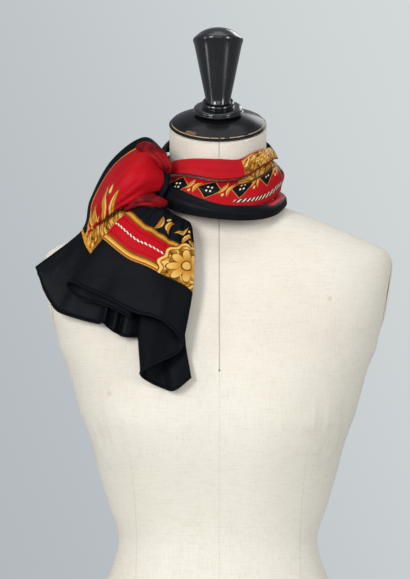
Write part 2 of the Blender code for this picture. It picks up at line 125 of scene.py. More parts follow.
frontFolds = [  # name, first station, then (across, forward, up): root, throat, belly, frame, hem
    ("middle end", 2,
     (-58, 57, 597), (-62, 76, 588), (-70, 90, 566), (-84, 112, 518), (-95, 121, 476)),
    ("middle", 2,
     (-61, 59, 598), (-69, 80, 591), (-84, 94, 571), (-105, 109, 531), (-127, 113, 491)),
    ("loop back", 1,
     (-69, 62, 606), (-77, 86, 597), (-98, 97, 583), (-124, 100, 554), (-153, 101, 497)),
    ("loop edge", 0,
     (-73, 68, 608), (-81, 92, 601), (-106, 101, 587), (-128, 104, 562), (-167, 100, 510)),
    ("loop front", 0,
     (-71, 72, 609), (-80, 97, 601), (-101, 107, 586), (-124, 111, 560), (-162, 110, 516)),
    ("panel 1", 0,
     (-67, 75, 606), (-74, 98, 598), (-93, 112, 580), (-112, 118, 550), (-141, 122, 507)),
    ("panel 2", 0,
     (-62, 76, 602), (-67, 99, 594), (-83, 115, 572), (-98, 123, 540), (-120, 127, 498)),
    ("panel 3", 0,
     (-56, 75, 596), (-58, 98, 587), (-70, 118, 563), (-78, 129, 532), (-92, 134, 483)),
    ("panel 4", 0,
     (-50, 71, 591), (-49, 95, 581), (-57, 119, 556), (-63, 132, 524), (-74, 139, 479)),
    ("panel 5", 0,
     (-45, 69, 589), (-40, 92, 578), (-42, 117, 550), (-48, 131, 517), (-59, 141, 472)),
    ("panel 6", 0,
     (-41, 67, 587), (-33, 89, 577), (-32, 113, 546), (-35, 127, 510), (-48, 139, 462)),
    ("right edge", 0,
     (-38, 65, 586), (-30, 84, 577), (-27, 108, 542), (-29, 123, 502), (-39, 133, 449)),
    ("flute front 1", 2,
     (-39, 62, 587), (-33, 79, 577), (-32, 104, 541), (-37, 119, 493), (-46, 133, 438)),
    ("flute front 2", 2,
     (-42, 62, 587), (-39, 78, 577), (-43, 104, 540), (-54, 122, 485), (-65, 142, 429)),
    ("flute left front", 2,
     (-45, 62, 588), (-44, 77, 577), (-55, 103, 540), (-78, 123, 476), (-82, 144, 420)),
    ("flute edge", 2,
     (-46, 61, 588), (-46, 75, 577), (-59, 101, 540), (-86, 120, 473), (-85, 135, 415)),
    ("flute left back", 2,
     (-44, 60, 588), (-43, 74, 577), (-55, 98, 539), (-81, 117, 468), (-78, 125, 408)),
    ("flute back", 2,
     (-42, 60, 588), (-40, 73, 577), (-47, 98, 538), (-65, 115, 460), (-61, 123, 400)),
    ("flute crease", 2,
     (-40, 60, 587), (-36, 73, 577), (-40, 98, 537), (-52, 116, 457), (-48, 132, 398)),
    ("inner side hem", 2,
     (-38, 61, 587), (-32, 75, 577), (-34, 99, 537), (-37, 117, 461), (-30, 129, 412)),
]
clothSet = {"wall": 0.9, "perFold": 8, "perStation": 14, "perTurn": 10, "perEdge": 8, "border": 60.0,
            "hem": 1.1}
# creases: fold they lie on, half-width in folds, from and to station, depth in millimetres
puffCreases = [(3.2, 0.28, 0.2, 3.4, -4.2), (3.75, 0.24, 0.4, 2.4, 2.4), (4.2, 0.20, 0.1, 3.1, -3.4),
               (4.65, 0.22, 0.5, 3.6, 2.2), (2.4, 0.28, 0.3, 2.8, -3.4), (1.5, 0.25, 0.4, 3.3, 2.4),
               (0.6, 0.30, 0.6, 4.2, -2.0), (5.2, 0.18, 0.2, 2.6, -2.0), (3.6, 0.5, 2.6, 4.4, 2.8),
               (6.6, 0.3, 0.6, 4.0, -1.5), (7.5, 0.3, 1.0, 4.6, 1.4), (8.4, 0.3, 3.2, 5.6, -2.0)]
frontCreases = [(4.6, 0.16, 0.2, 2.4, -1.8), (5.0, 0.16, 0.3, 2.0, 1.5), (5.45, 0.18, 0.1, 2.8, -2.4),
                (6.0, 0.16, 0.4, 2.1, 1.8), (6.5, 0.18, 0.2, 3.1, -2.6), (7.1, 0.18, 0.4, 2.3, 2.2),
                (7.6, 0.16, 0.1, 2.2, -2.6), (8.1, 0.16, 0.3, 2.7, 2.0), (8.6, 0.18, 0.2, 2.0, -2.8),
                (9.2, 0.18, 0.4, 2.5, 2.2), (9.8, 0.16, 0.1, 2.4, -2.4), (10.4, 0.2, 0.5, 3.2, 1.8),
                (6.2, 0.5, 2.9, 4.8, 1.8), (8.8, 0.6, 2.8, 4.9, -2.2), (13.6, 0.3, 2.6, 4.8, 1.6)]
# neck folds: crease place as a share of the width, half-width, from and to turn row, depth
bandCreases = {"upper": [(0.55, 0.10, 0.0, 3.4, -1.0), (0.8, 0.08, 1.4, 6.0, 0.7),
                         (0.5, 0.1, 5.0, 11.0, -1.2)],
               "middle": [(0.30, 0.08, 0.2, 2.6, -1.5), (0.55, 0.08, 0.8, 4.2, 1.2),
               (0.72, 0.07, 0.1, 3.4, -1.3), (0.45, 0.08, 3.2, 6.5, -1.4),
               (0.6, 0.09, 6.0, 11.0, -1.4)],
               "lower": [(0.40, 0.10, 0.1, 2.8, -1.2), (0.68, 0.08, 0.6, 4.0, 0.9),
              (0.5, 0.10, 5.0, 11.0, -1.0)]}
# gathered rolls at the knot: across, forward, up and half-width at points along each
rollPaths = {"twistFold": [(-92, 45, 668, 2.5), (-84, 56, 668, 6.0), (-74, 66, 662, 7.5), (-65, 70, 654, 7.0),
                           (-58, 70, 645, 6.0), (-56, 67, 637, 3.0)],
             "underFold": [(-104, 93, 594, 1.5), (-95, 97, 600, 4.0), (-86, 99, 604, 5.5),
                           (-76, 98, 605, 6.5),
                           (-67, 94, 604, 6.0), (-58, 84, 603, 3.0)],
             "throatFold": [(-57, 48, 656, 2.5), (-59, 60, 646, 5.0), (-61, 67, 633, 6.5),
                            (-63, 71, 620, 6.0),
                            (-65, 72, 610, 3.0)],
             "knotWrap": [(-78, 44, 612, 3), (-79, 44, 618, 9), (-80, 44, 628, 11.5), (-80, 43, 638, 10.5),
                          (-79, 42, 645, 7), (-78, 41, 649.5, 2)]}


def smoothRows(table, perSpan):
    # points through every row: each span is the Catmull-Rom cubic of its four nearest rows
    rows = np.asarray(table, float)
    rows = np.concatenate((2 * rows[:1] - rows[1:2], rows, 2 * rows[-1:] - rows[-2:-1]))
    t = (np.arange(perSpan) / perSpan).reshape((1, perSpan) + (1,) * (rows.ndim - 1))
    a, b, c, d = rows[:-3, None], rows[1:-2, None], rows[2:-1, None], rows[3:, None]
    spans = 0.5 * (2 * b + (c - a) * t + (2 * a - 5 * b + 4 * c - d) * t ** 2 + (3 * b - 3 * c + d - a) * t ** 3)
    return np.concatenate((spans.reshape((-1,) + rows.shape[1:]), rows[-2:-1]))


def gridObject(name, points, maps=None, closed=False, keep=None):
    # quads over points[row, column] in millimetres; keep masks the quads that are cloth
    rows, columns = points.shape[:2]
    index = np.arange(rows * columns).reshape(rows, columns)
    nextColumn = np.roll(index, -1, axis=1) if closed else index[:, 1:]
    thisColumn = index if closed else index[:, :-1]
    quads = np.stack((thisColumn[:-1], nextColumn[:-1], nextColumn[1:], thisColumn[1:]), axis=-1)
    quads = quads[keep] if keep is not None else quads.reshape(-1, 4)
    used, compact = np.unique(quads, return_inverse=True)
    quads = compact.reshape(-1, 4)
    mesh = bpy.data.meshes.new(name)
    mesh.from_pydata((points.reshape(-1, 3)[used] * mm).tolist(), [], quads.tolist())
    for label, uv in (maps or {}).items():
        layer = mesh.uv_layers.new(name=label)
        layer.data.foreach_set("uv", uv.reshape(-1, 2)[used][quads.ravel()].astype(np.float32).ravel())
    mesh.update()
    mesh.shade_smooth()
    thing = bpy.data.objects.new(name, mesh)
    scene.collection.objects.link(thing)
    return thing


def arcLength(points, axis):
    step = np.linalg.norm(np.diff(points, axis=axis), axis=-1)
    zero = np.zeros_like(np.take(step, [0], axis=axis))
    return np.concatenate((zero, np.cumsum(step, axis=axis)), axis=axis)


def wall(thing, thick):
    shell = thing.modifiers.new("wall", "SOLIDIFY")
    shell.thickness = thick * mm
    shell.offset = 0.0
    return thing


def closeEnds(thing):
    # merges the poles, fills open rims and turns the faces outward
    shell = bmesh.new()
    shell.from_mesh(thing.data)
    bmesh.ops.remove_doubles(shell, verts=shell.verts, dist=1e-6)
    bmesh.ops.holes_fill(shell, edges=[e for e in shell.edges if e.is_boundary], sides=0)
    bmesh.ops.recalc_face_normals(shell, faces=shell.faces)
    shell.to_mesh(thing.data)
    shell.free()
    thing.data.shade_smooth()
    return thing


# ---------- shader helpers: a number that carries its node socket
class Num:
    def __init__(self, tree, socket):
        self.tree = tree
        self.socket = socket

    def do(self, operation, *others):
        node = self.tree.nodes.new("ShaderNodeMath")
        node.operation = operation
        for slot, value in enumerate((self,) + others):
            if isinstance(value, Num):
                self.tree.links.new(value.socket, node.inputs[slot])
            else:
                node.inputs[slot].default_value = value
        return Num(self.tree, node.outputs[0])

    def __add__(self, other): return self.do("ADD", other)
    def __sub__(self, other): return self.do("SUBTRACT", other)
    def __mul__(self, other): return self.do("MULTIPLY", other)
    def __truediv__(self, other): return self.do("DIVIDE", other)
    def least(self, other): return self.do("MINIMUM", other)
    def most(self, other): return self.do("MAXIMUM", other)
    def size(self): return self.do("ABSOLUTE")
    def wave(self): return self.do("SINE")
    def root(self): return self.do("SQRT")
    def wrap(self, span): return self.do("WRAP", span, 0.0)

    def step(self, low, high):
        # 0 below low, 1 above high
        node = self.tree.nodes.new("ShaderNodeMapRange")
        node.interpolation_type = "SMOOTHSTEP"
        self.tree.links.new(self.socket, node.inputs["Value"])
        node.inputs["From Min"].default_value = low
        node.inputs["From Max"].default_value = high
        return Num(self.tree, node.outputs["Result"])

    def within(self, low, high, soft):
        return self.step(low - soft, low + soft) * (self.step(high - soft, high + soft) * -1.0 + 1.0)


def mixColour(tree, factor, first, second):
    node = tree.nodes.new("ShaderNodeMix")
    node.data_type = "RGBA"
    tree.links.new(factor.socket, node.inputs["Factor"])
    for name, value in (("A", first), ("B", second)):
        socket = [s for s in node.inputs if s.name == name and s.type == "RGBA"][0]
        if isinstance(value, tuple):
            socket.default_value = (*value, 1)
        else:
            tree.links.new(value, socket)
    return [s for s in node.outputs if s.type == "RGBA"][0]


def groupNamed(name, inputs, outputs):
    tree = bpy.data.node_groups.new(name, "ShaderNodeTree")
    for label, kind in inputs:
        tree.interface.new_socket(name=label, in_out="INPUT", socket_type=kind)
    for label, kind in outputs:
        tree.interface.new_socket(name=label, in_out="OUTPUT", socket_type=kind)
    return tree, tree.nodes.new("NodeGroupInput"), tree.nodes.new("NodeGroupOutput")


def noiseNode(tree, vector, scale, detail=3.0, rough=0.5):
    node = tree.nodes.new("ShaderNodeTexNoise")
    node.inputs["Scale"].default_value = scale
    node.inputs["Detail"].default_value = detail
    node.inputs["Roughness"].default_value = rough
    tree.links.new(vector, node.inputs["Vector"])
    return Num(tree, node.outputs["Fac"])


def mapped(tree, vector, centre, degrees=0.0, scale=1.0):
    # coordinates about a centre, turned and scaled
    node = tree.nodes.new("ShaderNodeMapping")
    node.vector_type = "TEXTURE"
    node.inputs["Location"].default_value = (*centre, 0)
    node.inputs["Rotation"].default_value = (0, 0, math.radians(degrees))
    node.inputs["Scale"].default_value = (scale, scale, scale)
    tree.links.new(vector, node.inputs["Vector"])
    return node.outputs[0]


def useGroup(tree, group, **inputs):
    node = tree.nodes.new("ShaderNodeGroup")
    node.node_tree = group
    for label, value in inputs.items():
        tree.links.new(value.socket if isinstance(value, Num) else value, node.inputs[label])
    return node.outputs[0]


def parted(tree, vector):
    split = tree.nodes.new("ShaderNodeSeparateXYZ")
    tree.links.new(vector, split.inputs[0])
    return Num(tree, split.outputs[0]), Num(tree, split.outputs[1])


ink = {"red": (0.45, 0.005, 0.011), "deepRed": (0.20, 0.004, 0.008), "black": (0.0040, 0.0050, 0.0068),
       "gold": (0.56, 0.24, 0.025), "paleGold": (0.76, 0.45, 0.12), "brown": (0.17, 0.065, 0.008),
       "ivory": (0.80, 0.70, 0.52)}
soft = 0.35


def buildGoldWork():
    # engraved gold: level lines of a soft noise, from brown through gold to pale gold
    tree, put, out = groupNamed("goldWork", [("Place", "NodeSocketVector")], [("Color", "NodeSocketColor")])
    field = noiseNode(tree, put.outputs["Place"], 0.055, 2.0)
    line = (field * 34.0).wave()
    shade = noiseNode(tree, put.outputs["Place"], 0.16, 3.0)
    colour = mixColour(tree, shade.step(0.35, 0.65), ink["brown"], ink["gold"])
    colour = mixColour(tree, line.step(0.70, 0.92), colour, ink["paleGold"])
    colour = mixColour(tree, line.step(-0.99, -0.90) * -1.0 + 1.0, colour, (0.09, 0.032, 0.005))
    tree.links.new(colour, out.inputs["Color"])
    return tree


def buildSprig():
    # a pair of pointed leaves with a bud: each leaf is where |x - bend y^2| < w (1 - (y / h)^2)
    tree, put, out = groupNamed("sprig", [("Place", "NodeSocketVector"), ("Ground", "NodeSocketColor")],
                                [("Color", "NodeSocketColor")])
    x, y = parted(tree, put.outputs["Place"])
    bent = x.size() - 5.4 - y * y * 0.030
    reach = (y / 12.0)
    width = (reach * reach * -1.0 + 1.0) * 3.6
    inside = bent.size() - width
    colour = mixColour(tree, inside.step(0.4, 1.1) * -1.0 + 1.0, put.outputs["Ground"], ink["brown"])
    tone = mixColour(tree, bent.step(-2.2, 1.4), ink["paleGold"], ink["gold"])
    colour = mixColour(tree, inside.step(-0.5, 0.1) * -1.0 + 1.0, colour, tone)
    colour = mixColour(tree, (bent.size().step(0.2, 0.6) * -1.0 + 1.0) * (inside.step(-1.4,
                                                                                      -0.8) * -1.0 + 1.0),
                       colour, ink["brown"])
    bud = (x * x + (y - 11.0) * (y - 11.0)).root()
    colour = mixColour(tree, bud.step(3.1, 3.7) * -1.0 + 1.0, colour, ink["brown"])
    colour = mixColour(tree, bud.step(2.2, 2.8) * -1.0 + 1.0, colour, ink["paleGold"])
    tree.links.new(colour, out.inputs["Color"])
    return tree


def buildRosette():
    # a scalloped round: rim r < 19 + cos 10a, then eight petals r < 13 |cos 4a|^(1/2) round a ringed centre
    tree, put, out = groupNamed("rosette", [("Place", "NodeSocketVector"), ("Ground", "NodeSocketColor")],
                                [("Color", "NodeSocketColor")])
    x, y = parted(tree, put.outputs["Place"])
    radius = (x * x + y * y).root()
    turn = y.do("ARCTAN2", x)
    rim = radius - ((turn * 10.0).wave() * 1.3 + 20.0)
    petal = radius - ((turn * 4.0).wave().size().root() * 10.5 + 4.0)
    field = useGroup(tree, goldTree, Place=put.outputs["Place"])
    colour = mixColour(tree, rim.step(0.2, 1.0) * -1.0 + 1.0, put.outputs["Ground"], (0.06, 0.02, 0.004))
    colour = mixColour(tree, rim.step(-0.6, 0.2) * -1.0 + 1.0, colour, ink["paleGold"])
    colour = mixColour(tree, rim.step(-2.8, -2.2) * -1.0 + 1.0, colour, ink["brown"])
    colour = mixColour(tree, rim.step(-3.6, -3.0) * -1.0 + 1.0, colour, field)
    colour = mixColour(tree, petal.step(0.3, 0.9) * -1.0 + 1.0, colour, (0.08, 0.03, 0.005))
    petalTone = mixColour(tree, radius.step(4.0, 13.0), ink["gold"], ink["paleGold"])
    colour = mixColour(tree, petal.step(-0.6, 0.0) * -1.0 + 1.0, colour, petalTone)
    colour = mixColour(tree, radius.step(4.4, 5.0) * -1.0 + 1.0, colour, ink["brown"])
    colour = mixColour(tree, radius.step(3.2, 3.8) * -1.0 + 1.0, colour, ink["paleGold"])
    tree.links.new(colour, out.inputs["Color"])
    return tree


def buildFrameLines():
    # by distance from the hem: plain black border, gold lines, red band with a rope, gold line, then the ground
    tree, put, out = groupNamed("frameLines", [("Edge", "NodeSocketFloat"), ("Along", "NodeSocketFloat"),
                                               ("Ground", "NodeSocketColor")], [("Color", "NodeSocketColor")])
    edge, along = Num(tree, put.outputs["Edge"]), Num(tree, put.outputs["Along"])
    colour = mixColour(tree, edge.within(50.0, 104.0, soft), put.outputs["Ground"], ink["brown"])
    colour = mixColour(tree, edge.within(98.4, 102.2, soft), colour, ink["gold"])
    colour = mixColour(tree, edge.within(68.8, 96.6, soft), colour, ink["red"])
    colour = mixColour(tree, edge.within(71.6, 72.4, 0.2), colour, ink["deepRed"])
    colour = mixColour(tree, edge.within(92.0, 92.8, 0.2), colour, ink["deepRed"])
    chain = along.wrap(5.0) - 2.5
    slant = (edge - 83.0 + chain * 0.35).size() + chain.size() * 0.30
    colour = mixColour(tree, slant.step(1.3, 1.7) * -1.0 + 1.0, colour, (0.10, 0.012, 0.01))
    colour = mixColour(tree, slant.step(0.8, 1.2) * -1.0 + 1.0, colour, ink["ivory"])
    colour = mixColour(tree, edge.within(62.6, 66.6, soft), colour, ink["gold"])
    colour = mixColour(tree, edge.within(63.2, 64.6, soft), colour, ink["paleGold"])
    colour = mixColour(tree, edge.within(60.4, 61.4, soft), colour, ink["gold"])
    colour = mixColour(tree, edge.step(59.6, 60.2) * -1.0 + 1.0, colour, ink["black"])
    tree.links.new(colour, out.inputs["Color"])
    return tree


def buildTwill():
    # fine diagonal ribs plus soft creases, as a height
    tree, put, out = groupNamed("twill", [("Cloth", "NodeSocketVector")], [("Height", "NodeSocketFloat")])
    s, t = parted(tree, put.outputs["Cloth"])
    rib = ((s + t) * 6.2832 / 0.9).wave() * 0.5 + 0.5
    crease = noiseNode(tree, put.outputs["Cloth"], 0.035, 3.0, 0.55)
    fine = noiseNode(tree, put.outputs["Cloth"], 0.16, 2.0)
    total = rib * 0.02 + crease * 2.2 + fine * 0.25
    tree.links.new(total.socket, out.inputs["Height"])
    return tree


goldTree = buildGoldWork()
sprigTree = buildSprig()
rosetteTree = buildRosette()
frameTree = buildFrameLines()
twillTree = buildTwill()


def silk(name, paint, roughness=0.46, specular=0.09):
    # paint(tree, cloth, folds) gives the colour; cloth is in millimetres, folds counts folds and stations
    finish = bpy.data.materials.new(name)
    finish.use_nodes = True
    tree = finish.node_tree
    shader = tree.nodes["Principled BSDF"]
    maps = []
    for layer in ("cloth", "folds"):
        node = tree.nodes.new("ShaderNodeUVMap")
        node.uv_map = layer
        maps.append(node.outputs[0])
    tree.links.new(paint(tree, *maps), shader.inputs["Base Color"])
    bump = tree.nodes.new("ShaderNodeBump")
    bump.inputs["Strength"].default_value = 0.6
    bump.inputs["Distance"].default_value = 0.001
    tree.links.new(useGroup(tree, twillTree, Cloth=maps[0]), bump.inputs["Height"])
    tree.links.new(bump.outputs[0], shader.inputs["Normal"])
    shader.inputs["Roughness"].default_value = roughness
    shader.inputs["Specular IOR Level"].default_value = specular
    shader.inputs["Anisotropic"].default_value = 0.3
    return finish


def paintRed(tree, cloth, folds):
    wash = noiseNode(tree, cloth, 0.02, 2.0)
    return mixColour(tree, wash.step(0.3, 0.75), ink["red"], (0.36, 0.004, 0.009))


def paintBlack(tree, cloth, folds):
    wash = noiseNode(tree, cloth, 0.02, 2.0)
    return mixColour(tree, wash.step(0.3, 0.75), ink["black"], (0.0065, 0.008, 0.0105))


def paintTwist(tree, cloth, folds):
    # red darkened as painted shade for the rolls gathered at the knot, with a rope line of slanted dashes along the
    # roll
    along, around = parted(tree, cloth)
    wash = noiseNode(tree, cloth, 0.05, 2.0)
    colour = mixColour(tree, wash.step(0.4, 0.6), (0.10, 0.003, 0.005), (0.26, 0.005, 0.008))
    band = around.within(36.0, 39.0, 0.3)
    dash = (along + around * 0.8).wrap(5.0) - 2.5
    colour = mixColour(tree, band, colour, ink["black"])
    return mixColour(tree, band * (dash.size().step(0.9, 1.3) * -1.0 + 1.0), colour, ink["ivory"])


def paintUpper(tree, cloth, folds):
    # red in front, deepened round the right side as painted shade, a gold worked end beyond the turn, black round the
    # back
    turn, share = parted(tree, folds)
    colour = paintRed(tree, cloth, folds)
    # painted shade: the red deepens as the fold turns round the right side
    colour = mixColour(tree, turn.step(5.4, 7.0), colour, ink["deepRed"])
    lower = (share + turn * 0.04).step(0.52, 0.55) * turn.step(2.3, 2.4)
    field = useGroup(tree, goldTree, Place=cloth)
    field = useGroup(tree, rosetteTree, Place=mapped(tree, cloth, upperRosetteAt, 0.0, 0.62), Ground=field)
    colour = mixColour(tree, lower, colour, field)
    colour = mixColour(tree, turn.step(8.2, 8.6), colour, ink["black"])
    # painted shade: darker red along the foot, where the fold meets the fold below
    return mixColour(tree, share.step(0.93, 0.97), colour, ink["deepRed"])


def paintLower(tree, cloth, folds):
    # black, with the red of the fold above turning over its top at the right
    turn, share = parted(tree, folds)
    colour = paintBlack(tree, cloth, folds)
    turned = (share + turn * -0.055).step(0.25, 0.28) * -1.0 + 1.0
    return mixColour(tree, turned * turn.step(3.9, 4.3) * (turn.step(8.6, 9.2) * -1.0 + 1.0), colour, ink["red"])


def paintMiddle(tree, cloth, folds):
    # red ground: a row of black lozenges with ivory dots and sprigs between, gold work above on the right, rope below
    along, across = parted(tree, cloth)
    turn, share = parted(tree, folds)
    colour = paintRed(tree, cloth, folds)
    cellX = (along - 3.0).wrap(38.0) - 19.0
    cell = tree.nodes.new("ShaderNodeCombineXYZ")
    tree.links.new(cellX.socket, cell.inputs[0])
    tree.links.new((across - 19.0).socket, cell.inputs[1])
    shifted = tree.nodes.new("ShaderNodeCombineXYZ")
    tree.links.new(((along - 22.0).wrap(38.0) - 19.0).socket, shifted.inputs[0])
    tree.links.new((across - 18.0).socket, shifted.inputs[1])
    colour = useGroup(tree, sprigTree, Place=mapped(tree, shifted.outputs[0],
                                                    (0, 0), 20.0, 0.62), Ground=colour)
    lozenge = cellX.size() * 0.9 + (across - 19.0).size()
    colour = mixColour(tree, lozenge.step(12.2, 12.8) * -1.0 + 1.0, colour, ink["gold"])
    colour = mixColour(tree, lozenge.step(11.4, 12.0) * -1.0 + 1.0, colour, ink["black"])
    dots = (cellX.size() - 2.2) * (cellX.size() - 2.2) + ((across - 19.0).size() - 2.2) * ((across - 19.0).size() - 2.2)
    colour = mixColour(tree, dots.step(0.7, 1.5) * -1.0 + 1.0, colour, ink["ivory"])
    field = useGroup(tree, goldTree, Place=cloth)
    field = useGroup(tree, sprigTree, Place=mapped(tree, cloth, goldLeafAt, -70.0, 1.2), Ground=field)
    upper = share.step(0.50, 0.53) * -1.0 + 1.0
    wedge = (turn + share * 2.2 - 2.7).step(0.0, 0.12)
    colour = mixColour(tree, upper * wedge, colour, field)
    colour = mixColour(tree, share.within(0.50, 0.54, 0.008) * wedge, colour, (0.08, 0.02, 0.006))
    rope = (along + across * 1.3).wrap(7.0) - 3.5
    ropeBand = share.within(0.84, 0.90, 0.008) * turn.step(1.0, 1.4)
    colour = mixColour(tree, ropeBand, colour, ink["black"])
    colour = mixColour(tree, ropeBand * (rope.size().step(1.2, 1.6) * -1.0 + 1.0), colour, ink["ivory"])
    return mixColour(tree, turn.step(9.5, 10.0), colour, ink["black"])


def paintPuff(tree, cloth, folds):
    # red, a black edge with a gold line along the outer hem, sprigs low on the face, gold work on the strip below
    side, edge = parted(tree, cloth)
    fold, station = parted(tree, folds)
    colour = paintRed(tree, cloth, folds)
    for centre, degrees, scale in puffLeaves:
        colour = useGroup(tree, sprigTree, Place=mapped(tree, cloth, centre, degrees, scale), Ground=colour)
    strip = fold.within(5.75, 8.25, 0.05) * station.within(2.2, 4.6, 0.05)
    colour = mixColour(tree, strip, colour, useGroup(tree, goldTree, Place=cloth))
    # painted shade: a dark brown line along the tuck where the puff's lower edge folds under
    colour = mixColour(tree, fold.within(5.60, 5.78, 0.03) * station.step(1.4, 1.6), colour, ink["brown"])
    colour = mixColour(tree, fold.step(8.2, 8.5), colour, ink["black"])
    colour = mixColour(tree, side.within(59.2, 61.2, soft), colour, ink["gold"])
    colour = mixColour(tree, side.step(58.6, 59.2) * -1.0 + 1.0, colour, ink["black"])
    colour = mixColour(tree, edge.within(60.0, 63.0, soft), colour, ink["gold"])
    return mixColour(tree, edge.step(59.6, 60.2) * -1.0 + 1.0, colour, ink["black"])


def paintFront(tree, cloth, folds):
    # framed by the border lines; a large rosette at the right, sprigs on black above; the flute is all border
    side, edge = parted(tree, cloth)
    fold, station = parted(tree, folds)
    ground = paintBlack(tree, cloth, folds)
    for centre, degrees, scale in frontLeaves:
        ground = useGroup(tree, sprigTree, Place=mapped(tree, cloth, centre, degrees, scale), Ground=ground)
    colour = useGroup(tree, frameTree, Edge=edge, Along=side, Ground=ground)
    colour = useGroup(tree, rosetteTree, Place=mapped(tree, cloth, rosetteAt, 10.0, 1.5), Ground=colour)
    inside = edge.step(59.6, 60.2)
    colour = mixColour(tree, inside, ink["black"], colour)
    return mixColour(tree, fold.step(11.35, 11.5), colour, ink["black"])


def mappedBy(tree, vector, scale):
    node = tree.nodes.new("ShaderNodeMapping")
    node.inputs["Scale"].default_value = scale
    tree.links.new(vector, node.inputs["Vector"])
    return node.outputs[0]


def canvasFinish():
    finish = bpy.data.materials.new("canvas")
    finish.use_nodes = True
    tree = finish.node_tree
    shader = tree.nodes["Principled BSDF"]
    where = tree.nodes.new("ShaderNodeTexCoord").outputs["Object"]
    split = tree.nodes.new("ShaderNodeSeparateXYZ")
    tree.links.new(where, split.inputs[0])
    x, y, z = (Num(tree, split.outputs[i]) for i in range(3))
    weave = (x * 6283.2 / 1.5).wave() + (z * 6283.2 / 1.5).wave()
    threadsAcross = noiseNode(tree, mappedBy(tree, where, (60, 60, 900)), 1.0, 3.0, 0.6)
    threadsUp = noiseNode(tree, mappedBy(tree, where, (900, 900, 60)), 1.0, 3.0, 0.6)
    slub = noiseNode(tree, where, 60.0, 4.0, 0.6)
    patch = noiseNode(tree, where, 7.0, 2.0)
    colour = mixColour(tree, patch.step(0.35, 0.7), (0.82, 0.768, 0.668), (0.785, 0.728, 0.62))
    colour = mixColour(tree, (threadsAcross + threadsUp).step(0.95, 1.35) * 0.40, colour, (0.60, 0.54, 0.44))
    colour = mixColour(tree, slub.step(0.5, 0.8) * 0.25, colour, (0.66, 0.60, 0.50))
    front = y.step(-0.03, -0.02) * -1.0 + 1.0
    strong = z.step(0.416, 0.421) * 0.50 + 0.12
    seam = ((x - 0.0008).size().step(0.0002, 0.0010) * -1.0 + 1.0) * front * strong
    stitch = (((z - 0.4185).size() + (x - 0.0008).size()).step(0.0014, 0.0022) * -1.0 + 1.0) * front
    bow = x.size() - 0.0920 - (z - 0.22) * (z - 0.22) * 0.55
    princess = (bow.size().step(0.0002, 0.0011) * -1.0 + 1.0) * front * (z.step(0.26,
                                                                                0.36) * -1.0 + 1.0) * 0.13
    colour = mixColour(tree, (seam + stitch * 0.6 + princess).least(1.0), colour, (0.26, 0.22, 0.16))
    # two small real stains, then two soft darker patches beside the busts that are painted shade of the canvas wrinkles
    # there
    for stainAndShadeX, stainAndShadeZ, size, weight in ((0.123, 0.497, 0.0035, 0.35), (-0.121, 0.392, 0.0045, 0.30),
                                         (0.100, 0.350, 0.010, 0.14), (-0.128, 0.346, 0.012, 0.12)):
        far = ((x - stainAndShadeX) * (x - stainAndShadeX) + (z - stainAndShadeZ) * (z - stainAndShadeZ)).root() + slub * size * 0.8
        stainAndShade = (far.step(size * 0.4, size * 1.5) * -1.0 + 1.0) * front * weight
        colour = mixColour(tree, stainAndShade, colour, (0.42, 0.33, 0.22))
    tree.links.new(colour, shader.inputs["Base Color"])
    shader.inputs["Roughness"].default_value = 0.95
    shader.inputs["Specular IOR Level"].default_value = 0.15
    bump = tree.nodes.new("ShaderNodeBump")
    bump.inputs["Strength"].default_value = 0.45
    bump.inputs["Distance"].default_value = 0.0006
    pull = noiseNode(tree, mappedBy(tree, where, (55, 55, 14)), 1.0, 2.0, 0.4)
    near = ((x.size() - 0.118) * (x.size() - 0.118) + (z - 0.345) * (z - 0.345) * 0.6).root()
    wrinkle = pull * (near.step(0.012, 0.042) * -1.0 + 1.0) * front * 22.0
    height = wrinkle + weave * 0.25 + threadsAcross + threadsUp + slub - (seam + princess) * 1.5
    tree.links.new(height.socket, bump.inputs["Height"])
    tree.links.new(bump.outputs[0], shader.inputs["Normal"])
    return finish


def lacquerFinish(name, wornFrom=None):
    # gloss black with fine dust; wornFrom marks the rim stretch where bare wood shows, as a profile length
    finish = bpy.data.materials.new(name)
    finish.use_nodes = True
    tree = finish.node_tree
    shader = tree.nodes["Principled BSDF"]
    where = tree.nodes.new("ShaderNodeTexCoord").outputs["Object"]
    dust = noiseNode(tree, where, 120.0, 4.0, 0.65)
    colour = mixColour(tree, dust.step(0.62, 0.85), (0.005, 0.005, 0.006), (0.030, 0.027, 0.024))
    if wornFrom:
        uv = tree.nodes.new("ShaderNodeUVMap")
        uv.uv_map = "turned"
        turn, length = parted(tree, uv.outputs[0])
        chips = noiseNode(tree, where, 260.0, 3.0, 0.6)
        line = length.within(wornFrom, wornFrom + 1.1, 0.25) * (chips.step(0.36, 0.46))
        colour = mixColour(tree, line * turn.within(0.52, 0.98, 0.02), colour, (0.42, 0.33, 0.22))
        chip = length.within(wornFrom - 5.0, wornFrom + 0.6, 0.5) * turn.within(0.625, 0.665, 0.008)
        colour = mixColour(tree, chip * chips.step(0.40, 0.50), colour, (0.20, 0.10, 0.045))
    tree.links.new(colour, shader.inputs["Base Color"])
    rough = noiseNode(tree, where, 40.0, 3.0) * 0.16 + dust.step(0.55, 0.8) * 0.15 + 0.14
    tree.links.new(rough.socket, shader.inputs["Roughness"])
    bump = tree.nodes.new("ShaderNodeBump")
    bump.inputs["Strength"].default_value = 0.12
    bump.inputs["Distance"].default_value = 0.0004
    tree.links.new(dust.socket, bump.inputs["Height"])
    tree.links.new(bump.outputs[0], shader.inputs["Normal"])
    shader.inputs["Specular IOR Level"].default_value = 0.18 if wornFrom else 0.5
    shader.inputs["Coat Weight"].default_value = 0.06 if wornFrom else 0.5
    shader.inputs["Coat Roughness"].default_value = 0.10
    return finish


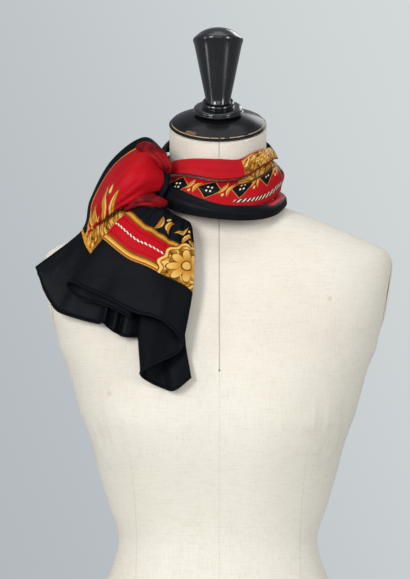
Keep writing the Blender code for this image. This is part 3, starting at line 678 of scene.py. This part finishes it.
# ---------- dress form
def formPoints():
    # rings of superellipses; the bust adds two soft mounds and the arm holes cut the sides flat
    up, half, front, back, square, tilt = smoothRows(formLevels, formSet["perSpan"]).T[..., None]
    turn = np.arange(formSet["around"]) * 2 * math.pi / formSet["around"]
    cosine, sine, power = np.cos(turn), np.sin(turn), 2.0 / square
    x = half * np.sign(cosine) * np.abs(cosine) ** power
    y = np.where(sine < 0, front, back) * np.sign(sine) * np.abs(sine) ** power
    across, bustUp, wide, high, swell = formSet["bust"]
    mound = np.exp(-((np.abs(x) - across) / wide) ** 2 - ((up - bustUp) / high) ** 2)
    y = np.where(sine < 0, y - swell * mound * np.abs(sine), y)
    cut = formSet["armHalf"] + (up - formSet["armUp"]) * formSet["armSlope"]
    x = np.where(up > formSet["armLow"], np.clip(x, -cut, cut), x)
    z = up + y * np.tan(np.radians(tilt))
    return np.stack(np.broadcast_arrays(x, y, z), axis=-1)


def turnedPiece(name, finish, profile, place, tilt, foot=None):
    # the profile's smooth curve swept round its axis: radius times the turn's cosine and sine, leaned, then placed
    radius, up = smoothRows(profile, 6).T[..., None]
    radius = np.maximum(radius, 0.0)
    turn = np.arange(neckSet["around"]) * 2 * math.pi / neckSet["around"]
    x, y = radius * np.cos(turn), radius * np.sin(turn)
    lean = math.radians(tilt)
    points = np.stack(np.broadcast_arrays(x, y * math.cos(lean) - up * math.sin(lean),
                                          y * math.sin(lean) + up * math.cos(lean)), -1) + np.array(place)
    if foot is not None:
        seatY, seatZ, seatTilt = foot
        seat = seatZ + (points[..., 1] - seatY) * math.tan(math.radians(seatTilt))
        points[..., 2] = np.maximum(points[..., 2], seat)
    length = arcLength(points, 0)[:, :1]
    uv = np.stack(np.broadcast_arrays(turn / (2 * math.pi), length), -1)
    thing = gridObject(name, points, {"turned": uv}, closed=True)
    closeEnds(thing)
    thing.data.set_sharp_from_angle(angle=math.radians(40))
    thing.data.materials.append(finish)
    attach(thing, "root")
    return thing


canvas = canvasFinish()
torso = closeEnds(gridObject("formTorso", formPoints(), closed=True))
torso.data.materials.append(canvas)
torso.data.set_sharp_from_angle(angle=math.radians(50))
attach(torso, "root")
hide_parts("torso")
for plate in ("arm_plate_left", "arm_plate_right"):
    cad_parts[plate].data.materials.clear()
    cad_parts[plate].data.materials.append(canvas)

leanBack = math.radians(neckSet["tilt"])
capTop, ringTop = neckSet["cap"][0][1], neckSet["ring"][0][1]
ringUp = capTop + neckSet["ringFoot"] + neckSet["gap"]
knobUp = ringUp + ringTop + neckSet["gap"]


def alongNeck(up):
    # a point on the leaning neck axis
    x, y, z = neckSet["top"]
    return x, y - up * math.sin(leanBack), z + up * math.cos(leanBack)


rimLength = float(arcLength(smoothRows(neckSet["cap"], 6), 0)[24])
cap = turnedPiece("neckCap", lacquerFinish("wornLacquer", rimLength), neckSet["cap"], alongNeck(0.0), neckSet["tilt"])
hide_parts("neck_cap")
lacquer = lacquerFinish("lacquer")
ring = turnedPiece("capRing", lacquer, neckSet["ring"], alongNeck(ringUp), neckSet["tilt"])
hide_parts("cap_ring")
seatAt = alongNeck(knobUp)
knob = turnedPiece("turnedKnob", lacquer, neckSet["knob"], (0.0, seatAt[1], neckSet["knobBase"]), 0.0,
                   foot=(seatAt[1], seatAt[2], neckSet["tilt"]))
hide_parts("knob")
print("form done")


# ---------- scarf
def creased(points, creases, perRow, perColumn):
    # moved along its normal: each crease is a bell across the folds times a squared sine along them
    normal = np.cross(np.gradient(points, axis=0), np.gradient(points, axis=1))
    normal /= np.linalg.norm(normal, axis=-1, keepdims=True) + 1e-9
    rows = (np.arange(points.shape[0]) / perRow)[:, None]
    columns = (np.arange(points.shape[1]) / perColumn)[None, :]
    shift = np.zeros(points.shape[:2])
    for centre, width, start, end, depth in creases:
        along = np.clip((columns - start) / (end - start), 0.0, 1.0)
        shift += depth * np.exp(-((rows - centre) / width) ** 2) * np.sin(math.pi * along) ** 2
    return points + normal * shift[..., None]


def bandGrid(table, creases):
    # a rolled section of radius and height, swept round the neck by the turn; it leans back with the neck
    rows = smoothRows(table, clothSet["perTurn"])
    turn = np.radians(rows[:, 0])[:, None]
    topR, topZ, bellyR, bellyZ, footR, footZ = rows[:, 1:].T
    drop = np.minimum(5.0, 0.5 * (topZ - bellyZ))
    section = np.stack((np.stack((topR - 1.5, topR, bellyR, footR)), np.stack((topZ - drop, topZ, bellyZ, footZ))), -1)
    section = smoothRows(section, clothSet["perEdge"])
    radius, height = section[..., 0].T, section[..., 1].T
    y = -radius * np.cos(turn) - (height - 620) * 0.10
    points = np.stack(np.broadcast_arrays(radius * np.sin(turn), y, height), -1)
    share = (np.arange(points.shape[1]) / (points.shape[1] - 1))[None, :]
    turned = creased(np.swapaxes(points, 0, 1), creases, points.shape[1] - 1, clothSet["perTurn"])
    folds = np.stack(np.broadcast_arrays(rows[:, :1] / 10.0, share), -1)
    return np.swapaxes(turned, 0, 1), folds


def foldGrid(folds, creases):
    # a pleated surface through every row of the fold table, creased, with its fold and station counts
    table = np.array([[(a, -f, u) for a, f, u in row[2:]] for row in folds], float)
    across = smoothRows(table, clothSet["perFold"])
    points = np.swapaxes(smoothRows(np.swapaxes(across, 0, 1), clothSet["perStation"]), 0, 1)
    starts = [row[1] * clothSet["perStation"] for row in folds]
    first = np.repeat([max(pair) for pair in zip(starts, starts[1:])], clothSet["perFold"])
    keep = np.arange(points.shape[1] - 1)[None, :] >= first[:, None]
    counts = np.stack(np.meshgrid(np.arange(points.shape[0]) / clothSet["perFold"],
                                  np.arange(points.shape[1]) / clothSet["perStation"], indexing="ij"), -1)
    return creased(points, creases, clothSet["perFold"], clothSet["perStation"]), keep, counts


def foldCloth(points, sideOffset, sideRow):
    # cloth coordinates: x from the side hem, y from the end hem; the border is 60 mm wide at the frame station
    step = clothSet["perStation"]
    along = arcLength(points, 1)
    frameColumn = points.shape[1] - 1 - step
    down = along - along[:, frameColumn:frameColumn + 1]
    y = clothSet["border"] - np.where(down > 0, down * clothSet["border"] / down[:, -1:], down)
    across = arcLength(points, 0)
    x = across - across[sideRow * clothSet["perFold"]][None, :] + sideOffset
    return np.stack((x, y), -1)


def tubeAlong(name, line, radius, finish, around=10):
    # a thin tube: the line plus radius times the turn's cosine and sine on two directions square to it
    tangent = np.gradient(line, axis=0)
    tangent /= np.linalg.norm(tangent, axis=-1, keepdims=True) + 1e-9
    side = np.cross(tangent, (0.3, -1.0, 0.2))
    side /= np.linalg.norm(side, axis=-1, keepdims=True)
    other = np.cross(tangent, side)
    turn = np.arange(around) * 2 * math.pi / around
    points = line[:, None] + radius * (side[:, None] * np.cos(turn)[:, None] + other[:,
                                                                                     None] * np.sin(turn)[:,
                                                                                                          None])
    length = arcLength(line, 0)[:, None]
    uv = np.stack(np.broadcast_arrays(length, turn * radius), -1)
    thing = closeEnds(gridObject(name, points, {"cloth": uv, "folds": uv * 0}, closed=True))
    thing.data.materials.append(finish)
    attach(thing, "root")
    return thing


def gatheredRoll(name, path, finish, thick=0.62, pleats=5, twist=2.2, depth=0.13):
    # an oval section along a smooth path, its edge pleated by a cosine of the turn that twists as it goes
    line = smoothRows([(a, -f, u, w) for a, f, u, w in path], 12)
    centre, size = line[:, :3], line[:, 3:]
    tangent = np.gradient(centre, axis=0)
    tangent /= np.linalg.norm(tangent, axis=-1, keepdims=True)
    side = np.cross(tangent, (0.0, -1.0, 0.0))
    side /= np.linalg.norm(side, axis=-1, keepdims=True)
    face = np.cross(side, tangent)
    turn = np.arange(72) * 2 * math.pi / 72
    progress = np.linspace(0, 1, len(line))[:, None]
    swell = size * (1 + depth * np.cos(pleats * turn + twist * progress * math.pi) + 0.05 * np.cos(9 * turn - 3 * progress))
    points = centre[:, None] + side[:, None] * (swell * np.cos(turn))[..., None]
    points = points + face[:, None] * (swell * np.sin(turn) * thick)[..., None]
    length = arcLength(centre, 0)[:, None]
    uv = np.stack(np.broadcast_arrays(length + 200, turn * 8.0), -1)
    thing = closeEnds(gridObject(name, points, {"cloth": uv, "folds": uv * 0}, closed=True))
    thing.data.materials.append(finish)
    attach(thing, "root")
    return thing


def finishCloth(thing, finish, node):
    wall(thing, clothSet["wall"])
    thing.data.materials.append(finish)
    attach(thing, "root")
    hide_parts(node)


puffPoints, puffKeep, puffCounts = foldGrid(puffFolds, puffCreases)
puffUv = foldCloth(puffPoints, 46.0, 1)
frontPoints, frontKeep, frontCounts = foldGrid(frontFolds, frontCreases)
frontUv = foldCloth(frontPoints, 300.0, 3)


def clothAt(uv, fold, station):
    # cloth coordinates at a fold and station
    return tuple(float(v) for v in uv[round(fold * clothSet["perFold"]), round(station * clothSet["perStation"])])


puffLeaves = [(clothAt(puffUv, 4.25, 2.95), 25.0, 1.7), (clothAt(puffUv, 4.9, 3.6), -35.0, 1.2),
              (clothAt(puffUv, 3.1, 3.7), 60.0, 1.1)]
frontLeaves = [(clothAt(frontUv, 7.2, 1.35), 15.0, 0.9), (clothAt(frontUv, 9.3, 1.4), -35.0, 0.85),
               (clothAt(frontUv, 10.6, 1.8), 70.0, 0.8)]
rosetteAt = clothAt(frontUv, 9.75, 2.42)
bandGrids = {name: bandGrid(bandTables[name], bandCreases[name]) for name in bandTables}
bandCloth = {name: np.stack((arcLength(grid[0], 0), arcLength(grid[0], 1)), -1) for name, grid in bandGrids.items()}


def neckAt(name, turnRow, share):
    # cloth coordinates on a neck fold, at a row of its table and a share of its width
    uv = bandCloth[name]
    return tuple(float(v) for v in uv[round(turnRow * clothSet["perTurn"]), round(share * (uv.shape[1] - 1))])


upperRosetteAt = neckAt("upper", 4.4, 0.72)
goldLeafAt = neckAt("middle", 3.6, 0.32)

blackSilk = silk("blackSilk", paintBlack, roughness=0.46, specular=0.05)
bandSilk = {"upper": silk("upperSilk", paintUpper), "middle": silk("middleSilk", paintMiddle),
            "lower": silk("lowerSilk", paintLower, specular=0.07)}
for name, slotName in (("upper", "silk_red"), ("middle", "silk_pattern"), ("lower", "silk_black")):
    points, folds = bandGrids[name]
    thing = gridObject("neckFold_" + name, points, {"cloth": bandCloth[name], "folds": folds})
    finishCloth(thing, bandSilk[name], "band_" + name)

puff = gridObject("tailPuff", puffPoints, {"cloth": puffUv, "folds": puffCounts}, keep=puffKeep)
puffHems = [tubeAlong("puffSideHem", puffPoints[0], clothSet["hem"], blackSilk),
            tubeAlong("puffEndHem", puffPoints[:, -1], clothSet["hem"], blackSilk)]
finishCloth(puff, silk("puffSilk", paintPuff, roughness=0.44, specular=0.06), "tail_puff")
front = gridObject("tailFront", frontPoints, {"cloth": frontUv, "folds": frontCounts}, keep=frontKeep)
frontHems = [tubeAlong("frontEndHem", frontPoints[:, -1], clothSet["hem"], blackSilk)]
finishCloth(front, silk("frontSilk", paintFront, specular=0.035), "tail_front")
# the knot's gathered rolls take this darker red: painted shade
shadedRollSilk = silk("shadedRollSilk", paintTwist)
gatheredRoll("twistFold", rollPaths["twistFold"], shadedRollSilk)
# black silk on the throat roll as painted shade, where the knot lies in shade
gatheredRoll("throatFold", rollPaths["throatFold"], blackSilk, pleats=3)
gatheredRoll("underFold", rollPaths["underFold"], shadedRollSilk)
knot = gatheredRoll("knotWrap", rollPaths["knotWrap"], shadedRollSilk, thick=1.0, pleats=7, depth=0.10)
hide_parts("knot")
print("scarf done")

# ---------- floor, camera and light
bpy.ops.mesh.primitive_circle_add(vertices=96, radius=0.9, fill_type="NGON", location=(0, 0, -0.0005))
floor = bpy.context.object
floor.name = "floor"
floorFinish = bpy.data.materials.new("paleFloor")
floorFinish.use_nodes = True
floorFinish.node_tree.nodes["Principled BSDF"].inputs["Base Color"].default_value = (0.66, 0.70, 0.71, 1)
floorFinish.node_tree.nodes["Principled BSDF"].inputs["Roughness"].default_value = 0.9
floor.data.materials.append(floorFinish)

cameraSet = {"place": (-0.015, -2.2, 0.507), "lens": 118.3}
camera = bpy.data.objects.new("camera", bpy.data.cameras.new("camera"))
scene.collection.objects.link(camera)
camera.location = cameraSet["place"]
camera.rotation_euler = (math.pi / 2, 0, 0)
camera.data.lens = cameraSet["lens"]
camera.data.sensor_width = 36.0
scene.camera = camera

lightSet = {"key": ((-1.25, -2.0, 1.3), 0.6, 1.1, 34.0), "fill": ((1.8, -1.8, 0.9), 0.5, 1.4, 21.0),
            "front": ((0.2, -2.9, 1.1), 1.4, 1.2, 10.0), "back": ((1.3, 2.0, 2.3), 1.6, 1.2, 18.0), "top": ((0.0, -0.2, 2.2), 1.2, 1.2, 6.0), "strip": ((-1.5, -0.8, 0.9), 0.3, 1.3, 4.0)}
for name, (place, wide, tall, power) in lightSet.items():
    lamp = bpy.data.lights.new(name, "AREA")
    lamp.shape = "RECTANGLE"
    lamp.size, lamp.size_y, lamp.energy = wide, tall, power
    thing = bpy.data.objects.new(name, lamp)
    scene.collection.objects.link(thing)
    thing.location = place
    aim = np.array((0.0, 0.0, 0.5)) - np.array(place)
    thing.rotation_euler = (math.atan2(math.hypot(aim[0], aim[1]), -aim[2]), 0, math.atan2(-aim[0], aim[1]))
# a pale backdrop to look at, painted darker to the left and lower down as painted shade, and a dimmer room for the
# object to be lit by
world = bpy.data.worlds.new("studio")
scene.world = world
world.use_nodes = True
sky = world.node_tree
ray = sky.nodes.new("ShaderNodeLightPath")
backdrop = sky.nodes.new("ShaderNodeBackground")
facing = sky.nodes.new("ShaderNodeSeparateXYZ")
sky.links.new(sky.nodes.new("ShaderNodeTexCoord").outputs["Generated"], facing.inputs[0])
# painted shade: the backdrop darkens to the left and lower down
backdropShade = (Num(sky, facing.outputs[0]) * 2.7 + Num(sky, facing.outputs[2]) * 1.2 + 0.5).step(-0.1, 1.1)
sky.links.new(mixColour(sky, backdropShade, (0.445, 0.48, 0.505), (0.66, 0.70, 0.70)), backdrop.inputs[0])
room = sky.nodes["Background"]
room.inputs[0].default_value = (0.86, 0.92, 1.0, 1)
room.inputs[1].default_value = 0.30
pick = sky.nodes.new("ShaderNodeMixShader")
sky.links.new(ray.outputs["Is Camera Ray"], pick.inputs[0])
sky.links.new(room.outputs[0], pick.inputs[1])
sky.links.new(backdrop.outputs[0], pick.inputs[2])
sky.links.new(pick.outputs[0], sky.nodes["World Output"].inputs["Surface"])
scene.view_settings.view_transform = "Standard"
print("stage done")
